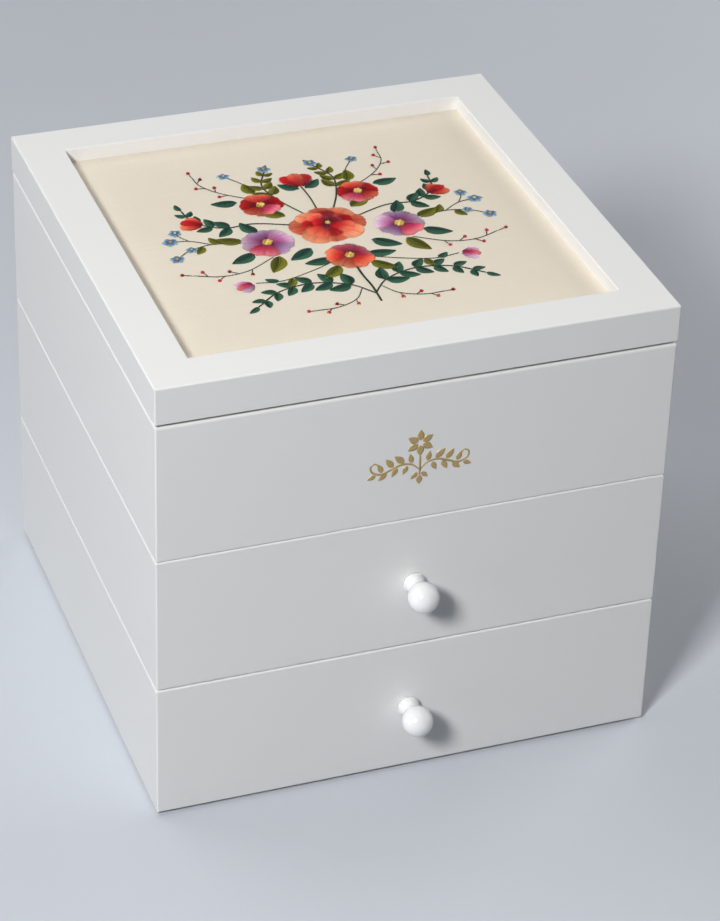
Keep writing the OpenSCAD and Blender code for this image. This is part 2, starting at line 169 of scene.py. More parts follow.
class Nodes:
    # a node tree on its way; node() adds any node and hands back one of its outputs
    def __init__(self, tree):
        self.tree = tree

    def connect(self, pin, value):
        if isinstance(value, Wire):
            self.tree.links.new(value.socket, pin)
        else:
            pin.default_value = value

    def node(self, kind, settings=None, pins=None, output=0):
        made = self.tree.nodes.new(kind)
        for key, value in (settings or {}).items():
            setattr(made, key, value)
        for key, value in (pins or {}).items():
            self.connect(made.inputs[key], value)
        return Wire(self, made.outputs[output])

    def place(self, stretch=(1, 1, 1)):
        # the point on the object in metres, times the stretch
        spot = self.node("ShaderNodeTexCoord", output=3)
        return self.node("ShaderNodeMapping", None, {"Vector": spot, "Scale": stretch})

    def parts(self, vector):
        # the three numbers of a vector
        split = self.node("ShaderNodeSeparateXYZ", None, {0: vector}).socket.node
        return [Wire(self, socket) for socket in split.outputs]

    def noise(self, scale, detail, stretch=(1, 1, 1), distortion=0.0):
        pins = {"Vector": self.place(stretch), "Scale": scale, "Detail": detail}
        pins["Distortion"] = distortion
        return self.node("ShaderNodeTexNoise", None, pins)

    def clamp(self, value, low, high):
        # value carried from low..high to 0..1, with smooth ends
        pins = {"Value": value, 1: low, 2: high, 3: 0.0, 4: 1.0}
        return self.node("ShaderNodeMapRange", {"interpolation_type": "SMOOTHSTEP"}, pins)

    def mix(self, factor, first, second, blend="MIX"):
        pins = {0: factor}
        for pin, colour in ((6, first), (7, second)):
            pins[pin] = colour if isinstance(colour, Wire) else (*colour, 1)
        return self.node("ShaderNodeMix", {"data_type": "RGBA", "blend_type": blend}, pins, 2)

    def bump(self, height, distance, under=None):
        # height from 0 to 1 over a distance in metres, laid over the relief under it
        pins = {"Height": height, "Distance": distance, "Strength": 1.0}
        if under is not None:
            pins["Normal"] = under
        return self.node("ShaderNodeBump", None, pins)


class Finish(Nodes):
    # a material; feed() sets a socket of its shader, or links it
    def __init__(self, name, **values):
        self.material = bpy.data.materials.new(name)
        self.material.use_nodes = True
        super().__init__(self.material.node_tree)
        self.shader = self.tree.nodes["Principled BSDF"]
        for socket, value in values.items():
            self.feed(socket.replace("_", " "), value)

    def feed(self, socket, value):
        self.connect(self.shader.inputs[socket], value)


def stretchAlong(axis, along):
    # squeezes a pattern's coordinate on one axis, so that its marks run that way
    return tuple(along if i == axis else 1 for i in range(3))


# floor and backdrop

# the floor and the sky are pale to the camera and in reflections, and light the box less than
# they show
ground = {
    "size": 30.0,
    "shown": (0.58, 0.61, 0.66),
    "patches": (0.97, 1.03),
    "nearBounce": (0.31, 0.34, 0.385),  # close to the box
    "bounce": (0.13, 0.145, 0.165),
    "bounceTurns": (0.3, 0.8),  # metres from the middle, between which one turns into the other
    "sky": 0.03,
    "backdrop": (0.48, 0.51, 0.56),
    "fade": (0.75, 2.1),  # metres between which the lit floor turns into the backdrop
    "dim": 0.35,  # share of the bounce that the backdrop gives off
}


def directlySeen(nodes):
    rays = ("Is Camera Ray", "Is Glossy Ray", "Is Transmission Ray")
    path = [nodes.node("ShaderNodeLightPath", output=name) for name in rays]
    return path[0].math("MAXIMUM", path[1]).math("MAXIMUM", path[2])


def stageFloor():
    finish = Finish("paleFloor", Roughness=0.85)
    dark, light = (scaled(ground["shown"], share) for share in ground["patches"])
    patches = finish.mix(finish.noise(2.5, 3), dark, light)
    away = finish.node("ShaderNodeVectorMath", {"operation": "LENGTH"}, {0: finish.place()}, 1)
    turns = finish.clamp(away, *ground["bounceTurns"])
    bounce = finish.mix(turns, ground["nearBounce"], ground["bounce"])
    finish.feed("Base Color", finish.mix(directlySeen(finish), bounce, patches))
    finish.feed("Normal", finish.bump(finish.noise(420, 3), 0.0001))
    dim = scaled(ground["bounce"], ground["dim"])
    glow = finish.mix(directlySeen(finish), dim, ground["backdrop"])
    both = finish.node("ShaderNodeMixShader", None, {
        0: finish.clamp(away, *ground["fade"]),
        1: Wire(finish, finish.shader.outputs[0]),
        2: finish.node("ShaderNodeEmission", None, {0: glow}),
    })
    finish.connect(finish.tree.nodes["Material Output"].inputs["Surface"], both)
    half = ground["size"] / 2
    corners = [(x * half, y * half, 0) for x, y in ((-1, -1), (1, -1), (1, 1), (-1, 1))]
    mesh = bpy.data.meshes.new("floor")
    mesh.from_pydata(corners, [], [(0, 1, 2, 3)])
    mesh.materials.append(finish.material)
    added("floor", mesh)


def stageWorld():
    world = bpy.data.worlds.new("studio")
    world.use_nodes = True
    bpy.context.scene.world = world
    sky = Nodes(world.node_tree)
    colour = sky.mix(directlySeen(sky), (ground["sky"],) * 3, ground["backdrop"])
    sky.connect(sky.tree.nodes["Background"].inputs["Color"], colour)


stageFloor()
stageWorld()
print("camera, lights and floor are set")

# finishes

paint = {
    "colour": (0.86, 0.855, 0.845),
    "inside": (0.84, 0.835, 0.81),
    "rough": 0.50,
    "gapShade": (0.30, 0.285, 0.265),  # painted shade: the front edges in the gap under the lid, greyed so that the gap reads as a dark line
    "gapShadeShare": 0.7,
    "gapShadeBack": (1.8, 3.0),  # behind the front face, in mm, between which it fades
    "gapShadeRim": (286.3, 286.9),  # heights in mm between which it sets in
    "gapShadeLid": (289.1, 288.5),
}
# the colours of each finish, the main ones first
tones = {
    "lacquer": ((0.93, 0.93, 0.925), (0.96, 0.96, 0.96)),
    "board": ((0.45, 0.41, 0.36), (0.60, 0.56, 0.50), (0.25, 0.22, 0.19)),
    "beech": ((0.60, 0.43, 0.27), (0.78, 0.62, 0.43), (0.42, 0.27, 0.15)),
    "brass": ((0.66, 0.52, 0.29), (0.47, 0.35, 0.18), (0.78, 0.67, 0.45)),
    "steel": ((0.55, 0.56, 0.58), (0.72, 0.73, 0.74)),
    "felt": ((0.20, 0.20, 0.21), (0.44, 0.44, 0.45)),
    "foil": ((0.46, 0.32, 0.12), (0.62, 0.46, 0.21)),
}


def satinPaint(name, colour, axis, grain=0.0, gapShade=None):
    # sprayed satin paint: a fine orange peel, slow changes of sheen, and a little of the
    # wood grain that shows through where the coat is thin
    finish = Finish(name)
    cloud = finish.noise(9, 3)
    streak = finish.noise(420, 3, stretchAlong(axis, 0.03), 0.4)
    pale, deep = (scaled(colour, share) for share in (1.012, 0.985 - 0.05 * grain))
    coat = finish.mix(0.6 * cloud + 0.4 * streak, deep, pale)
    # painted shade: where asked, greys the front edge in the lid gap, between the given heights and close to
    # the front face
    if gapShade:
        y, z = finish.parts(finish.place())[1:]
        fades = finish.clamp(y, *((frontFace + v) * mm for v in paint["gapShadeBack"]))
        setsIn = finish.clamp(z, *(v * mm for v in gapShade))
        coat = finish.mix(paint["gapShadeShare"] * (1 - fades) * setsIn, coat, paint["gapShade"])
    finish.feed("Base Color", coat)
    sheen = 0.07 * cloud + 0.05 * finish.noise(150, 2)
    finish.feed("Roughness", paint["rough"] - 0.05 + sheen)
    peel = finish.bump(finish.noise(520, 2), 0.00002)
    wave = finish.bump(finish.noise(45, 2), 0.00008, peel)
    finish.feed("Normal", finish.bump(streak, 0.00001 + 0.00003 * grain, wave))
    return finish.material


def glossLacquer():
    finish = Finish("glossLacquer", Coat_Weight=0.5, Coat_Roughness=0.08)
    finish.feed("Base Color", finish.mix(finish.noise(60, 2), *tones["lacquer"]))
    finish.feed("Roughness", 0.16 + 0.08 * finish.noise(240, 3))
    finish.feed("Normal", finish.bump(finish.noise(130, 1), 0.00004))
    return finish.material


def rawBoard():
    # pressed fibres with a few dark flecks
    finish = Finish("greyBoard", Roughness=0.9)
    dark, pale, fleck = tones["board"]
    fibres = finish.noise(900, 4, distortion=1.5)
    flecks = finish.clamp(finish.noise(2600, 1), 0.66, 0.74)
    finish.feed("Base Color", finish.mix(flecks * 0.6, finish.mix(fibres, dark, pale), fleck))
    finish.feed("Normal", finish.bump(fibres, 0.00012))
    return finish.material


def bareBeech():
    # dowels are vertical, so the grain and the short dark rays run along z
    finish = Finish("bareBeech", Roughness=0.65)
    dark, pale, ray = tones["beech"]
    grain = finish.noise(260, 4, stretchAlong(2, 0.05), 0.6)
    rays = finish.clamp(finish.noise(1400, 1, stretchAlong(2, 0.12)), 0.60, 0.72)
    finish.feed("Base Color", finish.mix(rays * 0.7, finish.mix(grain, dark, pale), ray))
    finish.feed("Normal", finish.bump(grain, 0.00006))
    return finish.material


def satinBrass():
    # brushed along x, duller where it is tarnished
    finish = Finish("satinBrass", Metallic=1.0)
    clean, dull, bright = tones["brass"]
    tarnish = finish.clamp(finish.noise(55, 4), 0.42, 0.72)
    brushed = finish.noise(2600, 2, stretchAlong(0, 0.03))
    base = finish.mix(tarnish, clean, dull)
    finish.feed("Base Color", finish.mix(0.25 * brushed, base, bright))
    finish.feed("Roughness", 0.28 + 0.16 * tarnish + 0.10 * brushed)
    finish.feed("Normal", finish.bump(brushed, 0.000012))
    return finish.material


def zincSteel():
    finish = Finish("zincSteel", Metallic=1.0)
    cloud = finish.noise(400, 3)
    finish.feed("Base Color", finish.mix(cloud, *tones["steel"]))
    finish.feed("Roughness", 0.25 + 0.2 * cloud)
    finish.feed("Normal", finish.bump(finish.noise(3000, 2), 0.00001))
    return finish.material


def pressedFelt():
    finish = Finish("pressedFelt", Roughness=0.95, Sheen_Weight=0.4)
    fibres = finish.noise(1500, 4, distortion=2.5)
    finish.feed("Base Color", finish.mix(fibres, *tones["felt"]))
    finish.feed("Normal", finish.bump(fibres, 0.0003))
    return finish.material


def goldFoil():
    finish = Finish("goldFoil", Metallic=0.75)
    worn = finish.noise(800, 3)
    finish.feed("Base Color", finish.mix(worn, *tones["foil"]))
    finish.feed("Roughness", 0.30 + 0.2 * worn)
    finish.feed("Normal", finish.bump(worn, 0.00002))
    return finish.material


finishes = {
    "glossy_knob": glossLacquer(),
    "grey_board": rawBoard(),
    "bare_wood": bareBeech(),
    "brass": satinBrass(),
    "screw_steel": zincSteel(),
    "felt": pressedFelt(),
}
# one paint for each way that a board's grain can run
outsidePaint = [satinPaint("satinPaint" + "XYZ"[axis], paint["colour"], axis) for axis in range(3)]
insidePaint = [satinPaint("thinPaint" + "XYZ"[axis], paint["inside"], axis, 1) for axis in range(3)]
# paints with painted shade on the front edges in the gap under the lid: the top box's rim and the lid's front
# rail
gapShadePaint = {
    node: satinPaint(node + "_gap_shade_paint", paint["colour"], 0, 0, paint[edge])
    for node, edge in (("top_box_front", "gapShadeRim"), ("lid_front_rail", "gapShadeLid"))
}


def isInside(node):
    inDrawer = "drawer" in node and not node.endswith("_drawer_front")
    return inDrawer or node.endswith("_floor") or node == "lid_backing"


for part in frame["record"]["subparts"]:
    name, slotName = part["node"], part["material_slot"]
    low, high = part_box(name)
    longest = max(range(3), key=lambda axis: high[axis] - low[axis])
    if slotName == "painted_wood":
        material = gapShadePaint.get(name, (insidePaint if isInside(name) else outsidePaint)[longest])
    else:
        material = finishes.get(slotName)
    if material is not None:
        slots = frame["nodes"][name].data.materials
        slots.clear()
        slots.append(material)
print("finishes are on the nodes")

# surfaces


def gridFaces(rows, columns, closed=False):
    # faces with four corners between the points of a grid, counted row by row; in a closed
    # grid the last column is joined to the first
    r = np.arange(rows - 1)[:, None] * columns
    c = np.arange(columns if closed else columns - 1)[None, :]
    after = (c + 1) % columns
    corners = np.broadcast_arrays(r + c, r + after, r + columns + after, r + columns + c)
    return np.stack(corners, -1).reshape(-1, 4)


def closedShape(grid, ends):
    # a grid of rings with triangles from its first and last ring to a point at each end
    rows, around = grid.shape[:2]
    turn = np.arange(around)
    after = (turn + 1) % around
    start, last = np.full(around, rows * around), (rows - 1) * around
    caps = [np.stack([start, after, turn], 1), np.stack([start + 1, turn + last, after + last], 1)]
    faces = [gridFaces(rows, around, True), *caps]
    return np.concatenate([grid.reshape(-1, 3), ends]), faces


def repeated(groups, size, count):
    # the faces of count copies of a shape that has size points
    step = size * np.arange(count)[:, None, None]
    return [(faces[None] + step).reshape(-1, faces.shape[1]) for faces in groups]


def joined(shapes):
    # one shape from several, each of them points and a list of groups of faces
    starts = np.cumsum([0] + [len(points) for points, groups in shapes])
    faces = [group + start for (points, groups), start in zip(shapes, starts) for group in groups]
    return np.concatenate([points for points, groups in shapes]), faces


def unit(vectors):
    # the same directions, each of length 1
    return vectors / np.linalg.norm(vectors, axis=-1, keepdims=True)


def solidPiece(name, points, groups, material):
    # points in metres, and arrays of faces, each array with one number of corners
    mesh = bpy.data.meshes.new(name)
    faces = sum([group.tolist() for group in groups], [])
    mesh.from_pydata(points.tolist(), [], faces, shade_flat=False)
    mesh.validate()
    mesh.materials.append(material)
    return added(name, mesh)


def declared(piece, body, node=None):
    # hides the node that a piece stands in for, if one is given, and hangs the piece on the body that carries
    # it
    if node:
        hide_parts(node)
    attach(piece, body)


def turned(profile, around, axes, origin):
    # a profile of radius and height turned about the last of three axes, closed at both ends
    radius, height = np.asarray(profile, float).T
    side, other, along = (np.asarray(v, float) for v in axes)
    angle = np.linspace(0, 2 * np.pi, around, endpoint=False)
    ring = np.cos(angle)[:, None] * side + np.sin(angle)[:, None] * other
    points = np.asarray(origin) + radius[:, None, None] * ring + height[:, None, None] * along
    return closedShape(points, np.asarray(origin) + height[[0, -1], None] * along)


def arcPoints(centre, radius, start, end, count):
    # points at even angles, in degrees, about a centre
    angle = np.radians(np.linspace(start, end, count))
    return np.stack([centre[0] + radius * np.cos(angle), centre[1] + radius * np.sin(angle)], 1)


# knobs

knob = {
    "foot": 7.2,  # radii of the foot, the neck at its thinnest and the ball, in mm
    "neck": 6.0,
    "ball": 9.8,
    "footLong": 3.0,
    "footEdge": 0.8,  # radius of the foot's rounded rim
    "underside": (2.88, 6.8),  # radii of two rings in the foot's flat underside
    "neckUp": 3.5,  # from the foot to the thinnest place
    "long": 27.5,
    "around": 96,
    "rings": (10, 22, 48),  # in the rim, the neck and the ball
}


def knobProfile():
    # a flat foot with a rounded rim, an arc for the hollow neck, and the ball, whose arc starts
    # where the two circles touch
    neck, ball, long, edge = (knob[key] for key in ("neck", "ball", "footLong", "footEdge"))
    inRim, inNeck, inBall = knob["rings"]
    ballAt, neckAt = knob["long"] - ball, long + knob["neckUp"]
    rise = ballAt - neckAt
    curve = (neck**2 + rise**2 - ball**2) / (2 * (ball - neck))
    meet = degrees(atan2(-rise, neck + curve))
    flare = degrees(asin((neckAt - long) / curve))
    return np.concatenate([
        [[radius, 0] for radius in knob["underside"]],
        arcPoints((knob["foot"] - edge, long - edge), edge, -10, 84, inRim),
        arcPoints((neck + curve, neckAt), curve, 180 + flare, 180 + meet, inNeck),
        arcPoints((0, ballAt), ball, meet, 89, inBall)[1:],
    ])


for level in ("lower", "upper"):
    name = level + "_drawer_knob"
    low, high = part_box(name)
    origin = (0, high[1], (low[2] + high[2]) / 2)
    axes = ((1, 0, 0), (0, 0, 1), (0, -1, 0))
    points, faces = turned(knobProfile() * mm, knob["around"], axes, origin)
    piece = solidPiece(level + "_turned_knob", points, faces, finishes["glossy_knob"])
    declared(piece, level + "_drawer", name)
print("knobs are turned")

# drawer boxes

eased = {
    "boards": ("box_front", "left_side", "right_side", "back", "row_divider", "cell_dividers"),
    "width": 0.5,  # of the rounded edge, in mm
    "segments": 3,
    "sharp": 40,  # edges that turn by more degrees are rounded
    "flat": 0.5,  # and faces that turn by fewer are made one
}


def easedBoard(node, body):
    # a copy of a board whose triangles are merged into whole faces, with its edges rounded
    work = bmesh.new()
    work.from_mesh(frame["nodes"][node].data)
    bmesh.ops.remove_doubles(work, verts=work.verts, dist=0.001 * mm)
    flat = radians(eased["flat"])
    bmesh.ops.dissolve_limit(work, angle_limit=flat, verts=work.verts, edges=work.edges)
    for face in work.faces:
        face.smooth = True
    mesh = bpy.data.meshes.new(node + "_eased")
    work.to_mesh(mesh)
    work.free()
    mesh.materials.append(frame["nodes"][node].data.materials[0])
    piece = added(node + "_eased", mesh)
    edges = piece.modifiers.new("easedEdges", "BEVEL")
    edges.width = eased["width"] * mm
    edges.segments = eased["segments"]
    edges.limit_method = "ANGLE"
    edges.angle_limit = radians(eased["sharp"])
    edges.harden_normals = True
    declared(piece, body, node)


for level in ("lower_drawer", "upper_drawer"):
    for board in eased["boards"]:
        easedBoard(level + "_" + board, level)
print("drawer boxes are eased")

# screws and feet

screw = {
    "head": 2.35,  # radii of head and shank, in mm
    "shank": 1.2,
    "tip": (0.2, 1.2),  # radius of the tip's end, and the tip's length
    "headLong": 1.1,
    "domed": 0.35,  # how much lower a pan head's rim is than its middle
    "edge": 0.1,  # width of the rim outside the rings of the face
    "pole": 0.04,  # radius of the innermost ring
    "rings": 26,
    "around": 80,
    "armLong": 1.55,  # half the length and half the width of the cross, and its depth
    "armWide": 0.30,
    "deep": 0.75,
    "lean": (0.45, 0.16),  # how far the cross's ends and sides come in as they go down
    "spin": 1.3,  # how much further each screw is turned than the last, in radians
    "reach": 6,  # the screws of a node stand further from each other
}
foot = {
    "flat": 1.2,  # width of what isn't flat on the underside, in mm
    "under": 0.7,  # radii of the lower and the upper rim
    "upper": 0.5,
    "pole": 0.4,
    "around": 64,
    "reach": 12,
}


def apart(node, reach):
    # the boxes of a node's pieces in mm, which stand further from each other than the reach
    corners = frame["nodes"][node].data.vertices
    points, boxes = np.zeros((len(corners), 3), np.float32), []
    corners.foreach_get("co", points.ravel())
    points = points / mm
    while len(points):
        near = np.linalg.norm((points - points[0])[:, :2], axis=1) < reach
        boxes.append((points[near].min(0), points[near].max(0)))
        points = points[~near]
    return boxes


def screwSurface(long, pan):
    # tip, shank and head as a profile, then the face in rings, pressed in where the cross is
    head, shank, face, edge = (screw[key] for key in ("head", "shank", "headLong", "edge"))
    tip, tipLong = screw["tip"]
    rim = [[head, -face], [head, -screw["domed"] - edge]] if pan else [[head, 0]]
    profile = np.array([[tip, -long], [shank, tipLong - long], [shank, -face], *rim])
    radius = np.linspace(head - edge, screw["pole"], screw["rings"])
    angle = np.linspace(0, 2 * np.pi, screw["around"], endpoint=False)
    across = np.concatenate([profile[:, 0], radius])[:, None]
    x, y = across * np.cos(angle), across * np.sin(angle)
    top = -screw["domed"] * (radius / head) ** 2 if pan else 0 * radius
    z = np.concatenate([profile[:, 1], top])[:, None] + 0 * x

    def arm(p, q):
        # 1 on the floor of one bar of the cross, falling to 0 at its outline
        ends = (screw["armLong"] - np.abs(p)) / screw["lean"][0]
        sides = (screw["armWide"] - np.abs(q)) / screw["lean"][1]
        return np.clip(np.minimum(ends, sides), 0, 1)

    cross = np.maximum(arm(x, y), arm(y, x))
    cross[: len(profile)] = 0
    return np.stack([x, y, z - screw["deep"] * cross], -1)


def driven(node, body, slotName, up, pan):
    # every screw of a node, each one turned a little further; up is 1 or -1
    shapes = []
    for low, high in apart(node, screw["reach"]):
        spin = screw["spin"] * len(shapes)
        c, s = cos(spin), sin(spin)
        turn = np.array([[c, s, 0], [-s, c, 0], [0, 0, 1]])
        grid = screwSurface(high[2] - low[2], pan) @ turn * (1, up, up)
        middle = (low + high) / 2
        grid = grid + [middle[0], middle[1], high[2] if up > 0 else low[2]]
        shapes.append(closedShape(grid, grid[[0, -1]].mean(1)))
    points, faces = joined(shapes)
    name = node.replace("screws", "cross_screws")
    piece = solidPiece(name, points * mm, faces, finishes[slotName])
    declared(piece, body, node)


def feltFeet():
    # discs whose lower and upper rims are pressed round
    shapes = []
    for low, high in apart("felt_feet", foot["reach"]):
        radius, thick = (high[0] - low[0]) / 2, high[2] - low[2]
        profile = np.concatenate([
            [[foot["pole"], 0], [radius - foot["flat"], 0]],
            arcPoints((radius - foot["under"], foot["under"]), foot["under"], -90, 0, 6),
            arcPoints((radius - foot["upper"], thick - foot["upper"]), foot["upper"], 0, 60, 5),
            [[foot["pole"], thick]],
        ])
        place = np.array([(low[0] + high[0]) / 2, (low[1] + high[1]) / 2, low[2]])
        axes = ((1, 0, 0), (0, 1, 0), (0, 0, 1))
        shapes.append(turned(profile * mm, foot["around"], axes, place * mm))
    piece = solidPiece("pressed_feet", *joined(shapes), finishes["felt"])
    declared(piece, "case", "felt_feet")


driven("hinge_case_screws", "case", "brass", 1, False)
driven("hinge_lid_screws", "lid", "brass", -1, False)
driven("lid_backing_screws", "lid", "screw_steel", -1, True)
feltFeet()
print("screws and feet are in place")

# the cloth panel

panel = {
    "node": "lid_fabric",
    "step": 1.6,  # spacing of the mesh, in mm
    "thick": 0.5,
    "ripple": 0.05,  # height of the slack left between the stitched parts
    "crown": 0.12,
    "thread": 0.55,  # pitch of the weave
    "cloth": (0.85, 0.77, 0.64),
    "thin": (0.77, 0.685, 0.55),  # colours where it is worn thin, and of a slub
    "slub": (0.88, 0.82, 0.71),
}
clothLow, clothHigh = (np.array(v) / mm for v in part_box(panel["node"]))
clothMiddle = (clothLow + clothHigh) / 2
clothTop = clothHigh[2]


def clothFinish():
    # plain weave: each thread rises over every other crossing; slubs are thicker stretches of it
    finish = Finish("cottonCloth", Roughness=0.86, Sheen_Weight=0.25, Sheen_Roughness=0.4)
    turns = 1 / (panel["thread"] * mm)
    x, y = finish.parts(finish.place((turns, turns, turns)))[:2]
    over = (pi * x).math("SINE") * (pi * y).math("SINE")
    ridges = (2 * pi * x).math("COSINE") + (2 * pi * y).math("COSINE")
    weave = 0.5 + 0.35 * over - 0.12 * ridges
    slubX = finish.clamp(finish.noise(900, 2, (0.045, 1, 1)), 0.52, 0.78)
    slubY = finish.clamp(finish.noise(900, 2, (1, 0.045, 1)), 0.54, 0.80)
    cloud = finish.noise(14, 3)
    base = finish.mix(0.35 + 0.5 * cloud, panel["thin"], panel["cloth"])
    base = finish.mix(0.55 + 0.45 * weave, finish.mix(0.4, base, panel["thin"]), base)
    finish.feed("Base Color", finish.mix(0.30 * (slubX + slubY), base, panel["slub"]))
    finish.feed("Roughness", 0.88 - 0.1 * weave)
    rough = finish.bump(weave + 0.5 * slubX + 0.5 * slubY, 0.00007)
    finish.feed("Normal", finish.bump(finish.noise(60, 2), 0.00015, rough))
    return finish.material


def clothHeight(x, y):
    # a low crown, slow waves, and short pulls in from the frame; it is flat at the very edge
    halfX, halfY = clothHigh[:2] - clothMiddle[:2]
    inX, inY = 1 - (x / halfX) ** 2, 1 - (y / halfY) ** 2
    free = np.clip(6 * inX, 0, 1) * np.clip(6 * inY, 0, 1)
    waves = np.sin(x / 23 + 1.1 * np.sin(y / 41)) * np.sin(y / 29 + 0.8 * np.sin(x / 37))
    pulls = np.exp(-inX * 9) * np.sin(y / 4.1) + np.exp(-inY * 9) * np.sin(x / 3.7)
    return free * (panel["crown"] * inX * inY + panel["ripple"] * (waves + 0.6 * pulls))


def stretchedCloth():
    counts = np.round((clothHigh - clothLow)[:2] / panel["step"]).astype(int) + 1
    x, y = np.meshgrid(*(np.linspace(clothLow[i], clothHigh[i], counts[i]) for i in range(2)))
    z = clothTop + clothHeight(x - clothMiddle[0], y - clothMiddle[1])
    points = np.stack([x, y, z], -1).reshape(-1, 3) * mm
    faces = [gridFaces(counts[1], counts[0])]
    piece = solidPiece("embroidery_cloth", points, faces, clothFinish())
    wall = piece.modifiers.new("thickness", "SOLIDIFY")
    wall.thickness = panel["thick"] * mm
    wall.offset = -1
    declared(piece, "lid", panel["node"])
    return piece


cloth = stretchedCloth()
print("cloth is stretched")

# stitches

stitch = {
    "pitch": 0.52,  # distance between two threads, in mm; leaves are sewn a little wider
    "leafPitch": 0.57,
    "radius": 0.30,
    "low": 0.85,  # a thread's height as a share of its width
    "sections": (0, 0.06, 0.32, 0.68, 0.94, 1),  # where a thread's rings stand along it
    "rise": (-0.42, 0.12, 0.30, 0.30, 0.12, -0.42),  # height of the rings over the cloth
    "taper": (0.7, 1, 1, 1, 1, 0.7),
    "uneven": 0.07,  # how much one thread's shade differs from the next
    "lineStep": 0.5,  # distance between the points of a curve
}
stemStitch = {
    "apart": 2.3,  # from the start of one stitch to the next, in mm
    "long": 3.9,
    "least": 2.4,  # a shorter end gets no stitch of its own
    "single": 4.5,  # a shorter line is one stitch
    "slant": 0.30,  # how far a stitch goes across the line
    "row": 0.42,  # from one row to the next
    "thickness": 0.95,
}
rings = np.array(stitch["sections"])
chance = np.random.default_rng(31)


def floss(code):
    # a screen colour as six hex digits, in linear light
    c = np.array([int(code[i : i + 2], 16) for i in (0, 2, 4)]) / 255
    return np.where(c < 0.04045, c / 12.92, ((c + 0.055) / 1.055) ** 2.4)


dyes = {
    "red": "720814 b50d18 d81f22",
    "coral": "9a1220 dc4334 f0805c",
    "peach": "b42c22 e6684a f4a27a",
    "rose": "8a1538 cc4060 e8848f",
    "lilac": "7a205c bc7db6 dcbedb",
    "mauve": "9a386e cc8cb6 e4c8dc",
    "blue": "2c4a74 6690b6 9dbcd0",
    "teal": "10271f 1c4236 38664f",
    "olive": "2c320a 52560f 7c7a20",
    "twig": "16241c 213529 314a3a",
    "berry": "5c0a1c 96162b c23c4a",
    "yellow": "a07a1c d8b548 eed98c",
}
skeins = {name: [floss(code) for code in codes.split()] for name, codes in dyes.items()}


def shadeOf(colours, t):
    # colours met one after another as t goes from 0 to 1
    stops = np.linspace(0, 1, len(colours))
    return np.stack([np.interp(t, stops, [c[i] for c in colours]) for i in range(3)], -1)


def placed(across, along, x, y, turn, side):
    # a motif's own plane, along pointing by turn degrees, set down at x, y; side -1 mirrors it
    a = radians(turn)
    px = x + along * cos(a) + across * sin(a)
    py = y + along * sin(a) - across * cos(a)
    return np.stack([side * px, py], -1)


def dyed(piece, colour, uv):
    # gives every point its colour and every face's corner its place on the thread
    dye = np.ones((len(colour), 4), np.float32)
    dye[:, :3] = colour
    attribute = piece.data.color_attributes.new("floss", "FLOAT_COLOR", "POINT")
    attribute.data.foreach_set("color", dye.ravel())
    layer = piece.data.uv_layers.new(name="ply")
    layer.data.foreach_set("uv", uv.astype(np.float32).ravel())
    declared(piece, "lid")
    return piece


class Needlework:
    # threads of one piece: paths of rings in mm over the cloth's middle, with a colour for each
    def __init__(self):
        self.paths, self.radii, self.colours = [], [], []

    def sew(self, flat, lift, colour, thickness=1.0):
        # one thread for each row of places on the cloth
        count, steps = flat.shape[:2]
        height = np.array(stitch["rise"]) + lift + clothHeight(flat[..., 0], flat[..., 1])
        self.paths.append(np.concatenate([flat, height[..., None]], -1))
        radius = stitch["radius"] * thickness * np.array(stitch["taper"])
        self.radii.append(np.broadcast_to(radius, (count, steps)))
        shade = 1 + stitch["uneven"] * chance.normal(size=(count, 1, 1))
        self.colours.append(np.broadcast_to(colour, (count, steps, 3)) * shade)

    def make(self, name, material):
        # a four-sided tube along every path: rings stand across the path's own direction
        path = np.concatenate(self.paths)
        radius = np.concatenate(self.radii)[..., None]
        colour = np.clip(np.concatenate(self.colours), 0, 1)
        ahead = unit(np.gradient(path, axis=1))
        beside = unit(np.cross(ahead, [0, 0, 1.0]))
        above = np.cross(beside, ahead)
        count, steps = path.shape[:2]
        corners = [
            path + radius * (cos(a) * beside + stitch["low"] * sin(a) * above)
            for a in np.radians([0, 90, 180, 270])
        ]
        points = np.stack(corners, 2).reshape(-1, 3) + [*clothMiddle[:2], clothTop]
        tube = gridFaces(steps, 4, True)[:, ::-1]
        ends = np.array([[0, 1, 2, 3], [3, 2, 1, 0]]) + np.array([[0], [4 * (steps - 1)]])
        faces = repeated([np.concatenate([tube, ends])], 4 * steps, count)
        piece = solidPiece(name, points * mm, faces, material)
        spans = np.linalg.norm(np.diff(path, axis=1), axis=-1)
        run = np.cumsum(np.pad(spans, ((0, 0), (1, 0))), 1)[..., None]
        ply = np.stack(np.broadcast_arrays(np.arange(4) / 4, run), -1).reshape(-1, 2)
        return dyed(piece, np.repeat(colour.reshape(-1, 3), 4, 0), ply[faces[0].ravel()])


petals, leaves, stems = Needlework(), Needlework(), Needlework()
knots = []


def along(count, start, end):
    # the rings' places between two ends of a curve, for each of count threads
    start, end = (np.broadcast_to(v, count)[:, None] for v in (start, end))
    return start + (end - start) * rings


